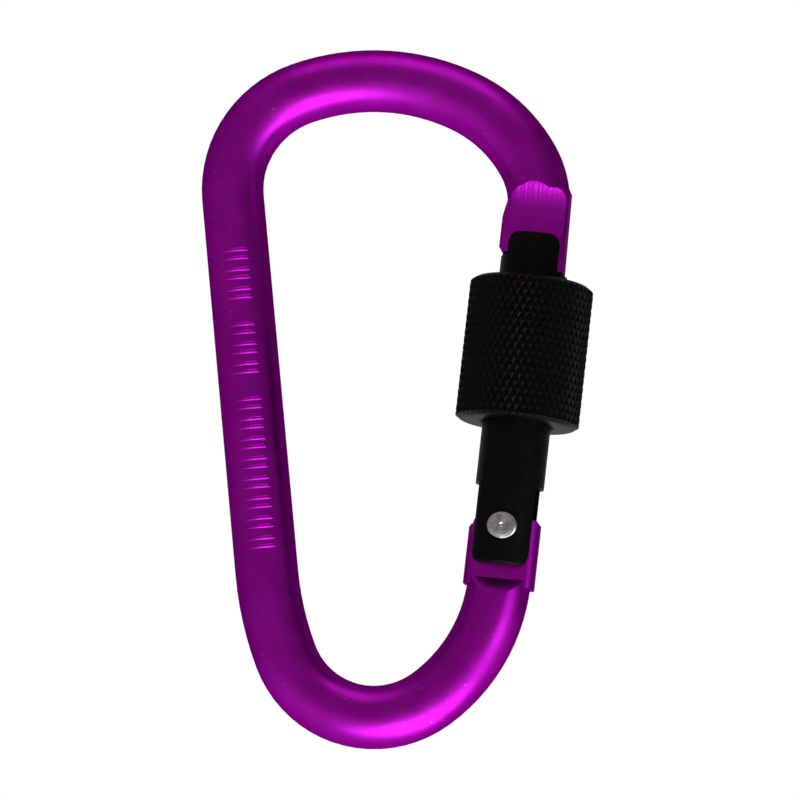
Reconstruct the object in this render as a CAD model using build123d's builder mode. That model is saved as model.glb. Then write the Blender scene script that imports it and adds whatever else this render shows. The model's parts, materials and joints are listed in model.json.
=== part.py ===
from build123d import *

# Locking carabiner: a bent rod, a gate on a rivet, and a knurled sleeve that runs along the gate.
# The D lies in the XZ plane with the gate on the +X side and the front face towards -Y.
# The origin is the inner apex of the top bend, where a strap or a hook bears.

import os
from math import cos, radians, sin, sqrt

os.makedirs("parts", exist_ok=True)

# ---- driving dimensions, mm and degrees ----
ROD_D = 7.0
TOP_R = 24.2
TOP_LEFT_TURN = 18.0
LEFT_CORNER_R = 11.36
LEFT_CORNER_TURN = 77.5
SPINE_LENGTH = 42.9
LOWER_LEFT_R = 36.3
LOWER_LEFT_TURN = 15.2
BOTTOM_R = 10.68
BOTTOM_TURN = 104.6
LOWER_RIGHT_R = 18.34
TOP_RIGHT_TURN = 27.3
SHOULDER_R = 16.86
SHOULDER_TURN = 34.7
NOSE_BEND_R = 10.4
GATE_LEAN = 6.6  # the gate leans this far outward going up

# heights along the gate's axis, measured from the rivet
ROD_END = -5.9
HINGE_TANG_FROM = -6.5
HINGE_TANG_T = 3.9
HINGE_TANG_HALF_W = 3.9
HINGE_TANG_ROUND = 1.2
HINGE_FLAT_FROM = -5.73
HINGE_RAMP_FROM = -7.6
HINGE_CORNER_INNER = -0.3
HINGE_CORNER_OUTER = 0.7
HINGE_CORNER_BREAK = 0.35
CAM_R = 2.535
CAM_OFFSET = 0.97
CAM_ANGLE = 112.5  # from the gate's axis towards the inside of the D
NOSE_TANG_T = 4.6
NOSE_INNER = -4.0
NOSE_OUTER = 3.4
NOSE_OUTER_TOP = 3.2
NOSE_TANG_ROUND = 0.9
NOSE_INNER_END = 30.7
NOSE_LEG_END = 28.9
NOSE_LEG_INNER = 0.6
NOSE_INNER_TO = 34.6
NOSE_FLAT_TO = 34.9
NOSE_TRIM_TO = 38.4
NOSE_WAIST = 36.8
NOSE_SCOOP_SIDE = 0.75
NOSE_SCOOP_KNEE = 3.0
NOSE_SCOOP_TO = 3.85
NOSE_CHAMFER = 0.6
NOSE_SPREAD_HALF_W = 3.1
NOSE_SPREAD_T = 6.4
NOSE_SPREAD_TO = 38.25
NOSE_SPREAD_ROUND = 1.6

GATE_D = 7.6
GATE_FROM = -4.2
GATE_TO = 32.95
GATE_END_BREAK = 0.25
GATE_CORNER_R = 1.1
HINGE_SLOT_W = 4.2
HINGE_SLOT_TO = 4.75
NOSE_SLOT_W = 4.9
NOSE_SLOT_INNER_FROM = 30.4
NOSE_SLOT_OUTER_FROM = 28.65
NOSE_SLOT_STEP = 0.3
SPRING_BORE_R = 1.6
SPRING_BORE_TO = 22.0
THREAD_FROM = 12.4
THREAD_TO = 28.3
THREAD_PITCH = 0.8
THREAD_DEPTH = 0.3
THREAD_FLANK = 0.48

SLEEVE_D = 13.8
SLEEVE_FROM = 11.7
SLEEVE_L = 16.0
SLEEVE_CUP_R = 4.95
SLEEVE_CUP_DEPTH = 5.6
SLEEVE_CHAMFER = 0.4

RUNNING_GAP = 0.05
SLEEVE_GAP = 0.1
RIVET_R = 1.1
RIVET_HEAD_R = 1.72
RIVET_HEAD_SEAT = 3.25
RIVET_RIM_ROUND = 0.2
RIVET_DIMPLE_R = 0.3

PLUNGER_TIP_R = 1.1
PLUNGER_TIP_ROUND = 1.08
PLUNGER_GUIDE_L = 2.0
PLUNGER_TIP_FROM = 2.12
PLUNGER_GUIDE_FROM = 5.5
SPRING_MEAN_R = 1.15
SPRING_WIRE_D = 0.4
SPRING_TURNS = 14

rod_r = ROD_D / 2
gate_r = GATE_D / 2
sleeve_r = SLEEVE_D / 2
REACH = 2 * ROD_D  # longer than any cut across a rod
BITE = 0.05  # how far a joined block or a cut runs past the surface it meets

# ---- the bent rod ----
# the centreline runs both ways from the top bend's apex, as tangent arcs round the straight spine
last_turn = 270 - GATE_LEAN - TOP_LEFT_TURN - LEFT_CORNER_TURN - LOWER_LEFT_TURN - BOTTOM_TURN
nose_turn = 90 + GATE_LEAN - TOP_RIGHT_TURN - SHOULDER_TURN
with BuildLine(Plane.XZ) as left_way:
    top_left = JernArc((0, rod_r), (-1, 0), TOP_R, TOP_LEFT_TURN)
    corner = JernArc(top_left @ 1, top_left % 1, LEFT_CORNER_R, LEFT_CORNER_TURN)
    spine = Line(corner @ 1, corner @ 1 + (corner % 1) * SPINE_LENGTH)
    lower_left = JernArc(spine @ 1, spine % 1, LOWER_LEFT_R, LOWER_LEFT_TURN)
    bottom = JernArc(lower_left @ 1, lower_left % 1, BOTTOM_R, BOTTOM_TURN)
    lower_right = JernArc(bottom @ 1, bottom % 1, LOWER_RIGHT_R, last_turn)
with BuildLine(Plane.XZ) as right_way:
    top_right = JernArc((0, rod_r), (1, 0), TOP_R, -TOP_RIGHT_TURN)
    shoulder = JernArc(top_right @ 1, top_right % 1, SHOULDER_R, -SHOULDER_TURN)
    nose_bend = JernArc(shoulder @ 1, shoulder % 1, NOSE_BEND_R, -nose_turn)

# planes through the rivet: across the gate, face on to the D, and edge on to it
up_gate = Vector(sin(radians(GATE_LEAN)), 0, cos(radians(GATE_LEAN)))
across_gate = Vector(cos(radians(GATE_LEAN)), 0, -sin(radians(GATE_LEAN)))
rivet_centre = lower_right @ 1 - up_gate * ROD_END
gate_plane = Plane(rivet_centre, x_dir=across_gate, z_dir=up_gate)
face_on = Plane(rivet_centre, x_dir=across_gate, z_dir=(0, -1, 0))
edge_on = Plane(rivet_centre, x_dir=(0, 1, 0), z_dir=across_gate)
nose_end = gate_plane.to_local_coords(nose_bend @ 1)

# the nose tang: pressing has spread it inward, and a short leg goes down its outer side
with BuildPart() as nose_tang:
    with BuildSketch(face_on):
        with BuildLine():
            Polyline(
                (0, NOSE_TRIM_TO),
                (0, NOSE_WAIST),
                (-rod_r + BITE, NOSE_WAIST),
                (NOSE_INNER, NOSE_INNER_TO),
                (NOSE_INNER, NOSE_INNER_END + NOSE_CHAMFER),
                (NOSE_INNER + NOSE_CHAMFER, NOSE_INNER_END),
                (NOSE_LEG_INNER, NOSE_INNER_END),
                (NOSE_LEG_INNER, NOSE_LEG_END),
                (NOSE_OUTER, NOSE_LEG_END),
                (NOSE_OUTER_TOP, NOSE_TRIM_TO),
                close=True,
            )
        make_face()
    extrude(amount=NOSE_TANG_T / 2, both=True)
    sides = nose_tang.faces().sort_by(Axis(rivet_centre, across_gate))
    fillet((sides[-1].edges() + sides[0].edges()).filter_by(lambda e: abs(e.center().Y) > 1), NOSE_TANG_ROUND)

# the metal that pressing spreads sideways at the top of the nose's scoops
with BuildPart() as nose_blank:
    with BuildSketch(face_on):
        with Locations((0, NOSE_SPREAD_TO)):
            RectangleRounded(
                2 * NOSE_SPREAD_HALF_W, 2 * NOSE_SCOOP_KNEE, NOSE_SPREAD_ROUND, align=(Align.CENTER, Align.MAX)
            )
    extrude(amount=NOSE_SPREAD_T / 2, both=True)

# the hinge tang: rounded sides, shoulders with broken corners, and a cam edge on its top
with BuildPart() as hinge_tang:
    with BuildSketch(gate_plane.offset(HINGE_TANG_FROM)):
        RectangleRounded(2 * HINGE_TANG_HALF_W, HINGE_TANG_T, HINGE_TANG_ROUND)
    extrude(amount=HINGE_CORNER_OUTER + HINGE_CORNER_BREAK - HINGE_TANG_FROM)
    with BuildSketch(face_on):
        with BuildLine():
            Polyline(
                (-HINGE_TANG_HALF_W - 1, HINGE_CORNER_INNER - 1),
                (-HINGE_TANG_HALF_W + HINGE_CORNER_BREAK, HINGE_CORNER_INNER + HINGE_CORNER_BREAK),
                (HINGE_TANG_HALF_W - HINGE_CORNER_BREAK, HINGE_CORNER_OUTER + HINGE_CORNER_BREAK),
                (HINGE_TANG_HALF_W + 1, HINGE_CORNER_OUTER - 1),
                (HINGE_TANG_HALF_W + 1, ROD_D),
                (-HINGE_TANG_HALF_W - 1, ROD_D),
                close=True,
            )
        make_face()
    extrude(amount=ROD_D, both=True, mode=Mode.SUBTRACT)
    cam_turn = radians(CAM_ANGLE)
    with BuildSketch(face_on):
        with Locations((-CAM_OFFSET * sin(cam_turn), CAM_OFFSET * cos(cam_turn))):
            Circle(CAM_R)
    extrude(amount=HINGE_TANG_T / 2, both=True)

with BuildPart() as body:
    for way in (left_way, right_way):
        with BuildSketch(Plane(way.line @ 0, z_dir=way.line % 0)):
            Circle(rod_r)
        sweep(path=way.wire())

    # the rod's two straight ends, which the tangs are cut from
    with BuildSketch(gate_plane.offset(ROD_END)):
        Circle(rod_r)
    extrude(amount=HINGE_CORNER_INNER - ROD_END)
    with BuildSketch(gate_plane.offset(nose_end.Z)):
        with Locations((nose_end.X, 0)):
            Circle(rod_r)
    extrude(amount=NOSE_INNER_END - nose_end.Z)
    add(nose_blank.part)

    # both faces are pressed flat for the gate's forks: the nose's flats run out in a round scoop,
    # the hinge's in a ramp
    with BuildSketch(edge_on) as nose_relief:
        with BuildLine():
            flat = Line((NOSE_TANG_T / 2, NOSE_INNER_END - ROD_D), (NOSE_TANG_T / 2, NOSE_FLAT_TO))
            knee = (NOSE_TANG_T / 2 + NOSE_SCOOP_SIDE, NOSE_FLAT_TO + NOSE_SCOOP_KNEE)
            scoop = TangentArc(flat @ 1, knee, tangent=flat % 1)
            wall = TangentArc(scoop @ 1, (rod_r + BITE, NOSE_FLAT_TO + NOSE_SCOOP_TO), tangent=scoop % 1)
            Polyline(wall @ 1, (ROD_D, NOSE_FLAT_TO + NOSE_SCOOP_TO), (ROD_D, NOSE_INNER_END - ROD_D), flat @ 0)
        make_face()
        mirror(about=Plane.YZ)
    extrude(amount=ROD_D, both=True, mode=Mode.SUBTRACT)
    with BuildSketch(edge_on) as hinge_relief:
        with BuildLine():
            Polyline(
                (HINGE_TANG_T / 2, ROD_D),
                (HINGE_TANG_T / 2, HINGE_FLAT_FROM),
                (rod_r + BITE, HINGE_RAMP_FROM),
                (ROD_D, HINGE_RAMP_FROM),
                (ROD_D, ROD_D),
                close=True,
            )
        make_face()
        mirror(about=Plane.YZ)
    extrude(amount=ROD_D, both=True, mode=Mode.SUBTRACT)

    # the nose's outer side is trimmed flat
    with BuildSketch(face_on):
        with BuildLine():
            Polyline(
                (NOSE_OUTER, NOSE_LEG_END),
                (NOSE_OUTER_TOP, NOSE_TRIM_TO),
                (ROD_D, NOSE_TRIM_TO),
                (ROD_D, NOSE_LEG_END),
                close=True,
            )
        make_face()
    extrude(amount=ROD_D, both=True, mode=Mode.SUBTRACT)
    add(nose_tang.part)
    add(hinge_tang.part)
    with BuildSketch(face_on):
        Circle(RIVET_R + RUNNING_GAP)
    extrude(amount=ROD_D, both=True, mode=Mode.SUBTRACT)
body.part.label = "body"
export_step(body.part, "parts/body.step")

# ---- the gate: a round bar with a fork at each end, a thread band and a blind bore ----
with BuildPart() as gate:
    with BuildSketch(gate_plane.offset(GATE_FROM)):
        Circle(gate_r)
    extrude(amount=GATE_TO - GATE_FROM)
    chamfer(gate.edges().filter_by(GeomType.CIRCLE), GATE_END_BREAK)
    # the forks' prongs have rounded corners, seen face on
    for end, inward, slot_w in ((GATE_FROM, 1, HINGE_SLOT_W), (GATE_TO, -1, NOSE_SLOT_W)):
        prong_w = 2 * (sqrt(gate_r**2 - (slot_w / 2) ** 2) - BITE)
        with BuildSketch(face_on):
            with Locations((0, end + inward * (GATE_CORNER_R - 1) / 2)):
                Rectangle(REACH, GATE_CORNER_R + 1)
            with Locations((0, end + inward * 2 * GATE_CORNER_R)):
                RectangleRounded(prong_w, 4 * GATE_CORNER_R, GATE_CORNER_R, mode=Mode.SUBTRACT)
        extrude(amount=ROD_D, both=True, mode=Mode.SUBTRACT)

    # the thread's grooves, cut as rings
    with BuildSketch(edge_on) as grooves:
        count = int((THREAD_TO - THREAD_FROM) / THREAD_PITCH)
        for turn in range(count + 1):
            height = THREAD_FROM + turn * THREAD_PITCH
            with BuildLine():
                Polyline(
                    (gate_r - THREAD_DEPTH, height),
                    (gate_r + THREAD_DEPTH, height - THREAD_FLANK),
                    (gate_r + THREAD_DEPTH, height + THREAD_FLANK),
                    close=True,
                )
            make_face()
    revolve(axis=Axis(rivet_centre, up_gate), mode=Mode.SUBTRACT)

    # the fork that straddles the hinge tang
    with BuildSketch(gate_plane.offset(GATE_FROM - 1)):
        Rectangle(REACH, HINGE_SLOT_W)
    extrude(amount=HINGE_SLOT_TO - GATE_FROM + 1, mode=Mode.SUBTRACT)
    # the fork that straddles the nose, deeper on its outer side for the nose's leg
    with BuildSketch(gate_plane.offset(NOSE_SLOT_INNER_FROM)):
        Rectangle(REACH, NOSE_SLOT_W)
    extrude(amount=GATE_TO, mode=Mode.SUBTRACT)
    with BuildSketch(gate_plane.offset(NOSE_SLOT_OUTER_FROM)):
        with Locations((NOSE_SLOT_STEP, 0)):
            Rectangle(REACH, NOSE_SLOT_W, align=(Align.MIN, Align.CENTER))
    extrude(amount=GATE_TO, mode=Mode.SUBTRACT)

    with BuildSketch(gate_plane.offset(HINGE_SLOT_TO - 1)):
        Circle(SPRING_BORE_R)
    extrude(amount=SPRING_BORE_TO - HINGE_SLOT_TO + 1, mode=Mode.SUBTRACT)
    with BuildSketch(face_on):
        Circle(RIVET_R)
    extrude(amount=ROD_D, both=True, mode=Mode.SUBTRACT)
    for side in (-1, 1):
        with BuildSketch(face_on.offset(side * RIVET_HEAD_SEAT)):
            Circle(RIVET_HEAD_R)
        extrude(amount=side * ROD_D, mode=Mode.SUBTRACT)
gate.part.label = "gate"
export_step(gate.part, "parts/gate.step")

# ---- the rivet: a shank with a low domed head at each end, each with a centre dimple ----
with BuildPart() as hinge_rivet:
    with BuildSketch(face_on.offset(-RIVET_HEAD_SEAT)):
        Circle(RIVET_R)
    extrude(amount=2 * RIVET_HEAD_SEAT)
    for side in (-1, 1):
        with BuildSketch(face_on.offset(side * RIVET_HEAD_SEAT)):
            Circle(RIVET_HEAD_R)
        extrude(amount=side * (gate_r - RIVET_HEAD_SEAT))
    rims = hinge_rivet.edges().filter_by(GeomType.CIRCLE).group_by(Axis.Y)
    fillet(rims[0] + rims[-1], RIVET_RIM_ROUND)
    for side in (-1, 1):
        with Locations(face_on.offset(side * gate_r).location):
            Sphere(RIVET_DIMPLE_R, mode=Mode.SUBTRACT)
hinge_rivet.part.label = "hinge_rivet"
export_step(hinge_rivet.part, "parts/hinge_rivet.step")

# ---- the sleeve: a knurled tube with a cup at the top that closes over the nose ----
with BuildPart() as lock_sleeve:
    with BuildSketch(gate_plane.offset(SLEEVE_FROM)):
        Circle(sleeve_r)
    extrude(amount=SLEEVE_L)
    chamfer(lock_sleeve.edges().filter_by(GeomType.CIRCLE), SLEEVE_CHAMFER)
    with BuildSketch(gate_plane.offset(SLEEVE_FROM)):
        Circle(gate_r + SLEEVE_GAP)
    extrude(amount=SLEEVE_L, mode=Mode.SUBTRACT)
    with BuildSketch(gate_plane.offset(SLEEVE_FROM + SLEEVE_L - SLEEVE_CUP_DEPTH)):
        Circle(SLEEVE_CUP_R)
    extrude(amount=SLEEVE_CUP_DEPTH, mode=Mode.SUBTRACT)
lock_sleeve.part.label = "lock_sleeve"
export_step(lock_sleeve.part, "parts/lock_sleeve.step")

# ---- the plunger: a pin with a round nose on the cam and a guide collar in the gate's bore ----
with BuildPart() as spring_plunger:
    with BuildSketch(gate_plane.offset(PLUNGER_TIP_FROM)):
        Circle(PLUNGER_TIP_R)
    extrude(amount=PLUNGER_GUIDE_FROM - PLUNGER_TIP_FROM)
    fillet(spring_plunger.edges().group_by(Axis(rivet_centre, up_gate))[0], PLUNGER_TIP_ROUND)
    with BuildSketch(gate_plane.offset(PLUNGER_GUIDE_FROM)):
        Circle(SPRING_BORE_R - RUNNING_GAP)
    extrude(amount=PLUNGER_GUIDE_L)
spring_plunger.part.label = "spring_plunger"
export_step(spring_plunger.part, "parts/spring_plunger.step")

# ---- the return spring: an open coil between the plunger and the bore's blind end ----
spring_from = PLUNGER_GUIDE_FROM + PLUNGER_GUIDE_L + SPRING_WIRE_D / 2
spring_length = SPRING_BORE_TO - SPRING_WIRE_D / 2 - spring_from
coil = Helix(spring_length / SPRING_TURNS, spring_length, SPRING_MEAN_R)
with BuildPart() as return_spring:
    coil_way = gate_plane.offset(spring_from).location * coil
    with BuildSketch(Plane(coil_way @ 0, z_dir=coil_way % 0)):
        Circle(SPRING_WIRE_D / 2)
    sweep(path=coil_way)
return_spring.part.label = "return_spring"
export_step(return_spring.part, "parts/return_spring.step")
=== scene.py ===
import json
from math import atan2, cos, floor, pi, radians, sin, sqrt

import bmesh
import bpy
from mathutils import Matrix, Vector


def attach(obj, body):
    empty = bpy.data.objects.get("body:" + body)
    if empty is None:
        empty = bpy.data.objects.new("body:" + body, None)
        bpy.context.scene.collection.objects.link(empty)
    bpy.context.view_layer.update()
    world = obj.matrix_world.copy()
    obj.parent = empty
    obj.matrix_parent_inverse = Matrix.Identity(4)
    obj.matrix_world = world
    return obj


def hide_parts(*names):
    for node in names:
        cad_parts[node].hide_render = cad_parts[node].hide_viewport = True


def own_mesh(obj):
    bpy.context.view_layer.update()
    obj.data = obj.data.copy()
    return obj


# A locking carabiner: a satin purple anodised rod, a black gate with its thread, a knurled
# sleeve and a turned rivet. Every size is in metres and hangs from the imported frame.
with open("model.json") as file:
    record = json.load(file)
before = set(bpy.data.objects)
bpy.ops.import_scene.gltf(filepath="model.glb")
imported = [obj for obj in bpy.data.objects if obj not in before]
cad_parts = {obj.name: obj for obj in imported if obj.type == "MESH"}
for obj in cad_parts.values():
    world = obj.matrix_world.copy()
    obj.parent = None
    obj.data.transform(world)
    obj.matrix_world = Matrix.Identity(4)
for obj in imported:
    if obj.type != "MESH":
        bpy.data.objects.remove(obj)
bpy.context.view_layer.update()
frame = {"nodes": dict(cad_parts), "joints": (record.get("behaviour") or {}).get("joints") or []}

MM = 0.001
JOINTS = {joint["name"]: joint for joint in frame["joints"]}
RIVET = Vector(JOINTS["gate_hinge"]["pos_m"])
UP_GATE = Vector(JOINTS["sleeve_travel"]["axis"]).normalized()
FRONT = Vector((0, -1, 0))
ACROSS = Vector((UP_GATE.z, 0, -UP_GATE.x))


def gate_frame():
    """The gate's own frame: x across the gate, y away from the viewer, z up its axis."""
    columns = (ACROSS, -FRONT, UP_GATE)
    turn = Matrix([[c[row] for c in columns] for row in range(3)]).to_4x4()
    return Matrix.Translation(RIVET) @ turn


# ---- camera, at the photographed angle: a little to the right and from below ----
CAMERA_AZIMUTH = 7.5
CAMERA_ELEVATION = -9.5
CAMERA_DISTANCE = 0.446
CAMERA_LENS = 180
CAMERA_SENSOR = 36
CAMERA_AIM = Vector((3.77 * MM, 0, -33.14 * MM))


def make_camera():
    data = bpy.data.cameras.new("camera")
    data.lens = CAMERA_LENS
    data.sensor_width = CAMERA_SENSOR
    data.clip_start = 0.01
    data.clip_end = 20
    camera = bpy.data.objects.new("camera", data)
    bpy.context.collection.objects.link(camera)
    azimuth = radians(CAMERA_AZIMUTH)
    elevation = radians(CAMERA_ELEVATION)
    back = Vector((sin(azimuth) * cos(elevation), -cos(azimuth) * cos(elevation), sin(elevation)))
    camera.location = CAMERA_AIM + back * CAMERA_DISTANCE
    camera.rotation_euler = back.to_track_quat("Z", "Y").to_euler()
    bpy.context.scene.camera = camera


make_camera()


# ---- materials ----
class Shader:
    """A material's node tree, with short calls for the nodes that the finishes share."""

    def __init__(self, name):
        self.material = bpy.data.materials.new(name)
        self.material.use_nodes = True
        self.tree = self.material.node_tree
        self.surface = self.tree.nodes["Principled BSDF"]
        self.place = self.tree.nodes.new("ShaderNodeTexCoord").outputs["Object"]

    def node(self, kind, **settings):
        made = self.tree.nodes.new(kind)
        for key, value in settings.items():
            setattr(made, key, value)
        return made

    def link(self, source, target):
        self.tree.links.new(source, target)

    def set(self, **sockets):
        for name, value in sockets.items():
            self.surface.inputs[name.replace("_", " ")].default_value = value

    def stretched(self, scale, rotation=(0, 0, 0)):
        """Object coordinates, turned and scaled, for streaks that run one way."""
        mapping = self.node("ShaderNodeMapping")
        mapping.inputs["Rotation"].default_value = rotation
        mapping.inputs["Scale"].default_value = scale
        self.link(self.place, mapping.inputs["Vector"])
        return mapping.outputs["Vector"]

    def noise(self, scale, detail=2.0, roughness=0.5, vector=None):
        made = self.node("ShaderNodeTexNoise")
        made.inputs["Scale"].default_value = scale
        made.inputs["Detail"].default_value = detail
        made.inputs["Roughness"].default_value = roughness
        self.link(vector or self.place, made.inputs["Vector"])
        return made.outputs["Fac"]

    def ramp(self, source, stops):
        made = self.node("ShaderNodeValToRGB")
        band = made.color_ramp
        while len(band.elements) < len(stops):
            band.elements.new(0.5)
        for element, (at, colour) in zip(band.elements, stops):
            element.position = at
            element.color = colour
        self.link(source, made.inputs["Fac"])
        return made.outputs["Color"]

    def span(self, source, start, end):
        """0 below start, 1 above end, with a soft step between."""
        made = self.node("ShaderNodeMapRange", interpolation_type="SMOOTHSTEP")
        made.inputs["From Min"].default_value = start
        made.inputs["From Max"].default_value = end
        self.link(source, made.inputs["Value"])
        return made.outputs["Result"]

    def times(self, first, second):
        made = self.node("ShaderNodeMath", operation="MULTIPLY")
        self.link(first, made.inputs[0])
        if isinstance(second, bpy.types.NodeSocket):
            self.link(second, made.inputs[1])
        else:
            made.inputs[1].default_value = second
        return made.outputs[0]

    def grey(self, source, low, high, low_at=0.3, high_at=0.7):
        return self.ramp(source, [(low_at, (low, low, low, 1)), (high_at, (high, high, high, 1))])

    def mix(self, factor, first, second, blend="MIX"):
        made = self.node("ShaderNodeMix", data_type="RGBA", blend_type=blend)
        for socket, value in ((made.inputs[0], factor), (made.inputs[6], first), (made.inputs[7], second)):
            if isinstance(value, bpy.types.NodeSocket):
                self.link(value, socket)
            else:
                socket.default_value = value
        return made.outputs[2]

    def bump(self, height, distance, strength=1.0, under=None):
        made = self.node("ShaderNodeBump")
        made.inputs["Strength"].default_value = strength
        made.inputs["Distance"].default_value = distance
        self.link(height, made.inputs["Height"])
        if under:
            self.link(under, made.inputs["Normal"])
        return made.outputs["Normal"]


# where the nose's streaks start, are full, fade and end: up the gate's axis, and across it
STREAKS_UP = (34.6 * MM, 35.4 * MM, 38.3 * MM, 38.8 * MM)
STREAKS_ACROSS = (-3.1 * MM, -2.6 * MM, 2.6 * MM, 3.2 * MM)


def nose_streaks(s):
    """The lines that pressing leaves along the scoops at the top of the nose's flats."""
    own = s.node("ShaderNodeMapping", vector_type="TEXTURE")
    own.inputs["Location"].default_value = RIVET
    own.inputs["Rotation"].default_value = (0, atan2(UP_GATE.x, UP_GATE.z), 0)
    s.link(s.place, own.inputs["Vector"])
    split = s.node("ShaderNodeSeparateXYZ")
    s.link(own.outputs["Vector"], split.inputs[0])
    drawn = s.node("ShaderNodeMapping")
    drawn.inputs["Scale"].default_value = (2600, 0, 110)
    s.link(own.outputs["Vector"], drawn.inputs["Vector"])

    def within(axis, limits):
        start, full, fade, end = limits
        return s.times(s.span(split.outputs[axis], start, full), s.span(split.outputs[axis], end, fade))

    scoop = s.times(within("Z", STREAKS_UP), within("X", STREAKS_ACROSS))
    return s.times(s.noise(1, 3, 0.6, drawn.outputs["Vector"]), scoop)


def anodised_purple():
    """Satin anodised aluminium: fine blasted grain, faint waviness, a few bright nicks."""
    s = Shader("anodised_purple")
    cloud = s.noise(180, 3, 0.55)
    base = s.ramp(cloud, [(0.3, (0.40, 0.006, 0.41, 1)), (0.72, (0.47, 0.010, 0.50, 1))])
    fleck = s.noise(2600, 2, 0.6)
    nick = s.ramp(fleck, [(0.71, (0, 0, 0, 1)), (0.76, (1, 1, 1, 1))])
    s.link(s.mix(nick, base, (0.62, 0.10, 0.72, 1)), s.surface.inputs["Base Color"])
    s.link(s.grey(s.noise(420, 3), 0.31, 0.40), s.surface.inputs["Roughness"])
    grain = s.bump(s.noise(5200, 2, 0.6), 0.000012, 0.35)
    waves = s.bump(s.noise(240, 2), 0.00003, 0.25, grain)
    s.link(s.bump(nose_streaks(s), 0.00007, 1.0, waves), s.surface.inputs["Normal"])
    s.set(Metallic=1.0, Specular_Tint=(0.50, 0.03, 0.52, 1))
    return s.material


def black_satin(name, low, high):
    """Black anodised aluminium, with fine turning lines round the bar and faint dust."""
    s = Shader(name)
    cloud = s.noise(900, 3, 0.6)
    base = s.ramp(cloud, [(0.3, (0.0014, 0.0012, 0.0010, 1)), (0.8, (0.0032, 0.0027, 0.0023, 1))])
    s.link(base, s.surface.inputs["Base Color"])
    s.link(s.grey(s.noise(600, 3), low, high), s.surface.inputs["Roughness"])
    lean = atan2(UP_GATE.x, UP_GATE.z)
    turned = s.stretched((60, 60, 9000), (0, -lean, 0))
    lines = s.bump(s.noise(1, 2, 0.5, turned), 0.000006, 0.4)
    s.link(s.bump(s.noise(4000, 2), 0.000008, 0.3, lines), s.surface.inputs["Normal"])
    s.set(Metallic=0.0, Specular_IOR_Level=0.085)
    return s.material


def bright_metal(name, colour, rough_low, rough_high):
    """Bare metal with a mottled, slightly worn surface."""
    s = Shader(name)
    cloud = s.noise(1400, 3, 0.6)
    dark = tuple(0.55 * c for c in colour) + (1,)
    s.link(s.ramp(cloud, [(0.35, dark), (0.62, (*colour, 1))]), s.surface.inputs["Base Color"])
    s.link(s.grey(s.noise(900, 3), rough_low, rough_high), s.surface.inputs["Roughness"])
    s.link(s.bump(s.noise(2400, 3, 0.6), 0.00003, 0.5), s.surface.inputs["Normal"])
    s.set(Metallic=1.0)
    return s.material


# ---- mesh helpers ----
def new_piece(name, work, material, body, smooth_angle=None):
    """Turns a bmesh in the row's frame into a piece with a material, a body and a slot."""
    mesh = bpy.data.meshes.new(name)
    bmesh.ops.recalc_face_normals(work, faces=work.faces)
    work.to_mesh(mesh)
    work.free()
    mesh.materials.append(material)
    piece = bpy.data.objects.new(name, mesh)
    bpy.context.collection.objects.link(piece)
    if smooth_angle is not None:
        mesh.shade_smooth()
        mesh.set_sharp_from_angle(angle=radians(smooth_angle))
    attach(piece, body)
    return piece


def gate_extent(node):
    """A node's lowest and highest corners in the gate's frame."""
    back = gate_frame().inverted()
    points = [back @ v.co for v in frame["nodes"][node].data.vertices]
    low = Vector([min(p[k] for p in points) for k in range(3)])
    high = Vector([max(p[k] for p in points) for k in range(3)])
    return low, high


def ring(work, place, radius, height, count, wave=None, row=0):
    """A ring of vertices round the local z axis; wave(column, row) may take some radius off."""
    made = []
    for column in range(count):
        turn = 2 * pi * column / count
        r = radius - (wave(column, row) if wave else 0)
        made.append(work.verts.new(place @ Vector((r * cos(turn), r * sin(turn), height))))
    return made


def skin(work, lower, upper, diagonal=None, row=0):
    """Joins two rings with quads, or with triangles split the way diagonal(column, row) says."""
    count = len(lower)
    for k in range(count):
        a, b, c, d = lower[k], lower[(k + 1) % count], upper[(k + 1) % count], upper[k]
        if diagonal is None:
            work.faces.new((a, b, c, d))
        elif diagonal(k, row):
            work.faces.new((a, b, d))
            work.faces.new((b, c, d))
        else:
            work.faces.new((a, b, c))
            work.faces.new((a, c, d))


# ---- the knurled sleeve ----
KNURL_DIAMONDS = 50  # round the sleeve
KNURL_STEPS = 8  # mesh columns and rows to a diamond
KNURL_DIAMOND_HEIGHT = 1.72 * MM
KNURL_DEPTH = 0.2 * MM
KNURL_FLAT = 0.34  # share of a diamond's half width where its top is flat
SLEEVE_CHAMFER = 0.4 * MM
SLEEVE_CUP_R = 4.95 * MM
SLEEVE_CUP_DEPTH = 5.6 * MM
SLEEVE_BORE_R = 3.9 * MM
SLEEVE_THREAD_PITCH = 0.8 * MM
SLEEVE_THREAD_DEPTH = 0.3 * MM
SLEEVE_THREAD_LAND = 0.25  # shares of the pitch: where a thread's flat ends, and its root
SLEEVE_THREAD_ROOT = 0.6


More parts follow.
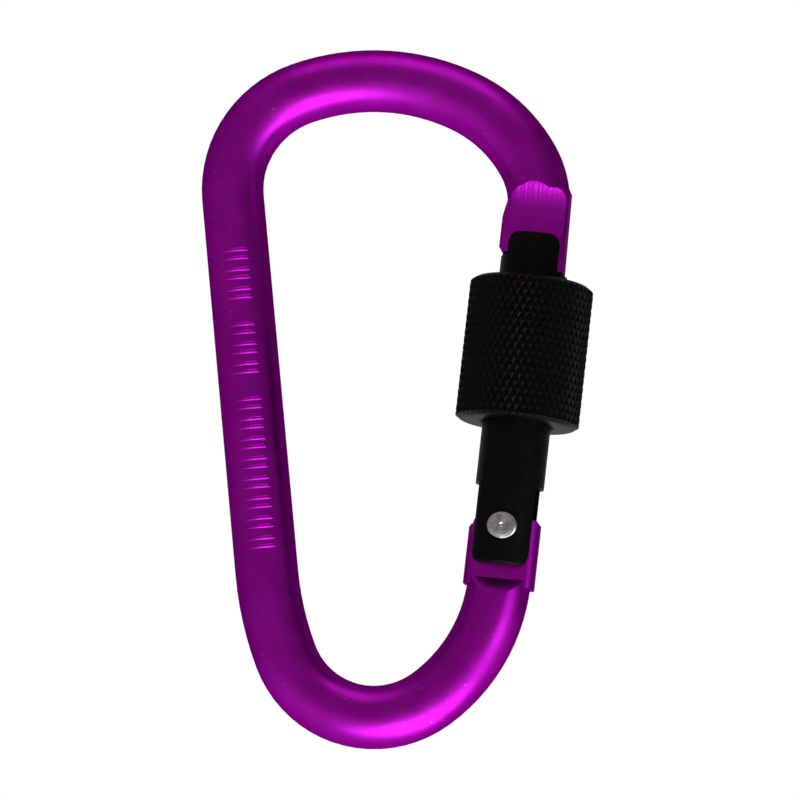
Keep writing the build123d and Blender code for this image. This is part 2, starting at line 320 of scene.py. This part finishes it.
def make_sleeve():
    low, high = gate_extent("lock_sleeve")
    radius = high.y
    length = high.z - low.z
    place = gate_frame() @ Matrix.Translation((0, 0, low.z))
    cup_floor = length - SLEEVE_CUP_DEPTH
    columns = KNURL_DIAMONDS * KNURL_STEPS
    field = length - 2 * SLEEVE_CHAMFER
    rows = round(field / KNURL_DIAMOND_HEIGHT * KNURL_STEPS)

    def phases(column, row):
        return (column + row) / KNURL_STEPS, (column - row) / KNURL_STEPS

    def valley(phase):
        """Distance from the nearest groove: 0 in the groove, 1 midway between two."""
        return 1 - abs(2 * (phase - floor(phase)) - 1)

    def cut(column, row):
        a, b = phases(column, row)
        rise = min(valley(a), valley(b)) / (1 - KNURL_FLAT)
        return KNURL_DEPTH * (1 - min(1, rise))

    def split(column, row):
        a, b = phases(column + 0.5, row + 0.5)
        return valley(a) < valley(b)

    work = bmesh.new()
    rings = [ring(work, place, radius, SLEEVE_CHAMFER + field * row / rows, columns, cut, row)
             for row in range(rows + 1)]
    for row in range(rows):
        skin(work, rings[row], rings[row + 1], split, row)
    # from the knurl over the upper rim, down the cup and the threaded bore, and out at the lower rim
    edge = radius - KNURL_DEPTH
    outline = [
        (edge - 0.04 * MM, length - SLEEVE_CHAMFER * 0.75),
        (edge - 0.22 * MM, length - 0.12 * MM),
        (edge - 0.42 * MM, length),
        (SLEEVE_CUP_R + 0.25 * MM, length),
        (SLEEVE_CUP_R, length - 0.25 * MM),
        (SLEEVE_CUP_R, cup_floor),
        (SLEEVE_BORE_R + 0.3 * MM, cup_floor),
    ]
    turns = int((cup_floor - 0.8 * MM) / SLEEVE_THREAD_PITCH)
    for turn in range(turns):
        top = cup_floor - 0.4 * MM - turn * SLEEVE_THREAD_PITCH
        outline.append((SLEEVE_BORE_R, top))
        outline.append((SLEEVE_BORE_R, top - SLEEVE_THREAD_PITCH * SLEEVE_THREAD_LAND))
        outline.append((SLEEVE_BORE_R + SLEEVE_THREAD_DEPTH, top - SLEEVE_THREAD_PITCH * SLEEVE_THREAD_ROOT))
    outline += [
        (SLEEVE_BORE_R, 0.5 * MM),
        (SLEEVE_BORE_R + 0.35 * MM, 0),
        (edge - 0.5 * MM, 0),
        (edge - 0.25 * MM, 0.1 * MM),
        (edge - 0.04 * MM, SLEEVE_CHAMFER * 0.7),
    ]
    last = rings[-1]
    for r, height in outline:
        following = ring(work, place, r, height, columns)
        skin(work, last, following)
        last = following
    skin(work, last, rings[0])
    sleeve = new_piece("knurled_sleeve", work, black_knurl, "sleeve", 22)
    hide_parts("lock_sleeve")


# ---- the rivet ----
RIVET_HEAD_R = 1.72 * MM
RIVET_SHANK_R = 1.1 * MM
RIVET_SEAT = 3.25 * MM
RIVET_COLUMNS = 96
# a head's profile from its centre to its rim, mm: radius, and height against the gate's surface
RIVET_PROFILE = (
    (0.0, -0.16), (0.12, -0.14), (0.22, -0.05), (0.30, 0.0), (0.42, 0.0), (0.54, -0.045),
    (0.66, -0.035), (0.78, -0.045), (0.90, -0.09), (1.02, -0.085), (1.14, -0.11), (1.26, -0.16),
    (1.38, -0.19), (1.50, -0.25), (1.60, -0.32), (1.67, -0.39), (1.71, -0.46), (1.72, -0.52),
)


def make_rivet():
    """A turned rivet: a shank, and at each end a low head with fine rings and a centre dimple."""
    high = gate_extent("hinge_rivet")[1]
    half = high.y
    head = high.z
    face_turn = Matrix.Translation(RIVET) @ Matrix.Rotation(radians(90), 4, "X")
    work = bmesh.new()
    previous = None
    scale = head / RIVET_HEAD_R
    stack = [(r * MM * scale, half + z * MM) for r, z in RIVET_PROFILE[1:]]
    stack += [(head, RIVET_SEAT), (RIVET_SHANK_R, RIVET_SEAT)]
    stack += [(r, -z) for r, z in reversed(stack)]
    for r, z in stack:
        current = ring(work, face_turn, r, z, RIVET_COLUMNS)
        if previous:
            skin(work, previous, current)
        else:
            first = current
        previous = current
    for rim, sign in ((first, 1), (previous, -1)):
        tip = work.verts.new(face_turn @ Vector((0, 0, sign * (half + RIVET_PROFILE[0][1] * MM))))
        for k in range(RIVET_COLUMNS):
            work.faces.new((rim[k], rim[(k + 1) % RIVET_COLUMNS], tip))
    rivet = new_piece("turned_rivet", work, rivet_metal, "gate_arm", 40)
    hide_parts("hinge_rivet")


# ---- generic raised ribs on the spine, in place of its lettering ----
RIB_GROUPS = (3, 3, 8)
RIB_PITCH = 2.24 * MM
RIB_PAIR_GAP = 0.93 * MM
RIB_GROUP_GAP = 1.8 * MM
RIB_HALF_SPAN = radians(28)
RIB_CENTRE = radians(2.5)
RIB_RISE = 0.085 * MM
RIB_HALF_WIDTH = 0.17 * MM
RIB_ROOT = 0.25 * MM  # how far a rib reaches down into the rod
RIB_END_DROP = 0.6  # share of the rise that a rib's ends sink below the rod's surface
RIB_STEPS = 14
# a rib's section: place along the spine in half widths, and share of the rise
RIB_SECTION = ((-1.5, -0.35), (-1.0, 0.15), (-0.55, 0.8), (0.0, 1.0), (0.55, 0.8), (1.0, 0.15), (1.5, -0.35))
SPINE_LEAN = radians(5.5)
SPINE_MIDDLE = Vector((-12.97 * MM, 0, -33.14 * MM))
SPINE_TOP_RIB = 16.95 * MM  # above the spine's middle
ROD_RADIUS = 3.5 * MM


def make_ribs():
    up_spine = Vector((-sin(SPINE_LEAN), 0, cos(SPINE_LEAN)))
    side = Vector((cos(SPINE_LEAN), 0, sin(SPINE_LEAN)))
    work = bmesh.new()

    def rib(height):
        rows = []
        for step in range(RIB_STEPS + 1):
            share = 2 * step / RIB_STEPS - 1
            turn = RIB_CENTRE + share * RIB_HALF_SPAN
            taper = sqrt(max(0.0, 1 - abs(share) ** 6))
            out = side * sin(turn) + FRONT * cos(turn)
            line = []
            for along, rise in RIB_SECTION:
                r = ROD_RADIUS + RIB_RISE * (rise * taper - (1 - taper) * RIB_END_DROP)
                place = SPINE_MIDDLE + up_spine * (height + along * RIB_HALF_WIDTH)
                line.append(work.verts.new(place + out * r))
            rows.append(line)
        inner = []
        for step in range(RIB_STEPS + 1):
            turn = RIB_CENTRE + (2 * step / RIB_STEPS - 1) * RIB_HALF_SPAN
            out = side * sin(turn) + FRONT * cos(turn)
            line = []
            for end in (-1, 1):
                place = SPINE_MIDDLE + up_spine * (height + end * 1.5 * RIB_HALF_WIDTH)
                line.append(work.verts.new(place + out * (ROD_RADIUS - RIB_ROOT)))
            inner.append(line)
        loops = [[inner[k][0], *rows[k], inner[k][1]] for k in range(RIB_STEPS + 1)]
        for lower, upper in zip(loops, loops[1:]):
            skin(work, lower, upper)
        work.faces.new(loops[0])
        work.faces.new(loops[-1])

    height = SPINE_TOP_RIB
    for group in RIB_GROUPS:
        for _ in range(group):
            rib(height)
            rib(height - RIB_PAIR_GAP)
            height -= RIB_PITCH
        height -= RIB_GROUP_GAP
    new_piece("spine_ribs", work, purple, "frame", 40)


def let_spring_give():
    """Gives the return spring a mesh of its own."""
    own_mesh(frame["nodes"]["return_spring"])


def finish_node(node, material):
    """Gives a CAD node its material."""
    slots = frame["nodes"][node].data.materials
    slots.clear()
    slots.append(material)


purple = anodised_purple()
gate_black = black_satin("gate_black", 0.30, 0.40)
black_knurl = black_satin("black_knurl", 0.26, 0.38)
rivet_metal = bright_metal("rivet_metal", (0.62, 0.62, 0.61), 0.22, 0.34)
steel = bright_metal("steel", (0.55, 0.54, 0.52), 0.2, 0.35)
finish_node("body", purple)
finish_node("gate", gate_black)
finish_node("spring_plunger", steel)
finish_node("return_spring", steel)
make_sleeve()
make_rivet()
make_ribs()
let_spring_give()


# ---- light ----
AMBIENT = 0.31
AMBIENT_RIGHT = 0.17
FLOOR_GLOW = 0.42
FLOOR_HEIGHT = -0.8
FLOOR_REACH = 3
COOL = (0.88, 0.93, 1.0)
# name, direction from the object, distance, width, height, watts, colour
SOFTBOXES = (
    ("key", (0.26, -0.40, -0.88), 0.5, 0.56, 0.36, 2.45, COOL),  # the bends' and the nose's highlights
    ("arm", (0.795, -0.46, -0.40), 0.135, 0.06, 0.06, 0.024, COOL),  # a small near one, for the lower right arm
    ("top", (0.035, -0.264, 0.963), 0.6, 0.5, 0.4, 0.55, (1, 1, 1)),
)


def make_world():
    """White to look at; what lights the object is a dim warm grey, darker on the right."""
    world = bpy.data.worlds.new("studio")
    bpy.context.scene.world = world
    world.use_nodes = True
    nodes = world.node_tree.nodes
    links = world.node_tree.links
    way = nodes.new("ShaderNodeTexCoord")
    split = nodes.new("ShaderNodeSeparateXYZ")
    links.new(way.outputs["Generated"], split.inputs[0])
    ramp = nodes.new("ShaderNodeValToRGB")
    ramp.color_ramp.elements[0].position = 0.25
    ramp.color_ramp.elements[0].color = (AMBIENT, AMBIENT * 0.95, AMBIENT * 0.93, 1)
    ramp.color_ramp.elements[1].position = 0.8
    ramp.color_ramp.elements[1].color = (AMBIENT_RIGHT, AMBIENT_RIGHT * 0.95, AMBIENT_RIGHT * 0.9, 1)
    links.new(split.outputs["X"], ramp.inputs["Fac"])
    links.new(ramp.outputs["Color"], nodes["Background"].inputs["Color"])
    white = nodes.new("ShaderNodeBackground")
    white.inputs["Color"].default_value = (1, 1, 1, 1)
    path = nodes.new("ShaderNodeLightPath")
    mix = nodes.new("ShaderNodeMixShader")
    links.new(path.outputs["Is Camera Ray"], mix.inputs[0])
    links.new(nodes["Background"].outputs[0], mix.inputs[1])
    links.new(white.outputs[0], mix.inputs[2])
    links.new(mix.outputs[0], nodes["World Output"].inputs[0])


def softbox(name, towards, distance, width, height, power, colour):
    """A rectangular light that faces the middle of the object."""
    light = bpy.data.lights.new(name, "AREA")
    light.shape = "RECTANGLE"
    light.size = width
    light.size_y = height
    light.energy = power
    light.color = colour
    lamp = bpy.data.objects.new(name, light)
    bpy.context.collection.objects.link(lamp)
    way = Vector(towards).normalized()
    lamp.location = CAMERA_AIM + way * distance
    lamp.rotation_euler = way.to_track_quat("Z", "Y").to_euler()
    lamp.visible_camera = False


def make_floor():
    """A plain pale floor, well below the object, that glows a little like a lit sweep."""
    mesh = bpy.data.meshes.new("floor")
    work = bmesh.new()
    bmesh.ops.create_grid(work, x_segments=1, y_segments=1, size=FLOOR_REACH)
    bmesh.ops.translate(work, verts=work.verts, vec=(0, 0, FLOOR_HEIGHT))
    work.to_mesh(mesh)
    work.free()
    s = Shader("floor_paint")
    s.link(s.grey(s.noise(4, 3), 0.48, 0.52), s.surface.inputs["Base Color"])
    s.set(Roughness=0.9, Emission_Color=(1, 0.97, 0.96, 1), Emission_Strength=FLOOR_GLOW)
    mesh.materials.append(s.material)
    ground = bpy.data.objects.new("floor", mesh)
    bpy.context.collection.objects.link(ground)


bpy.context.scene.view_settings.view_transform = "Standard"
make_world()
make_floor()
for box in SOFTBOXES:
    softbox(*box)
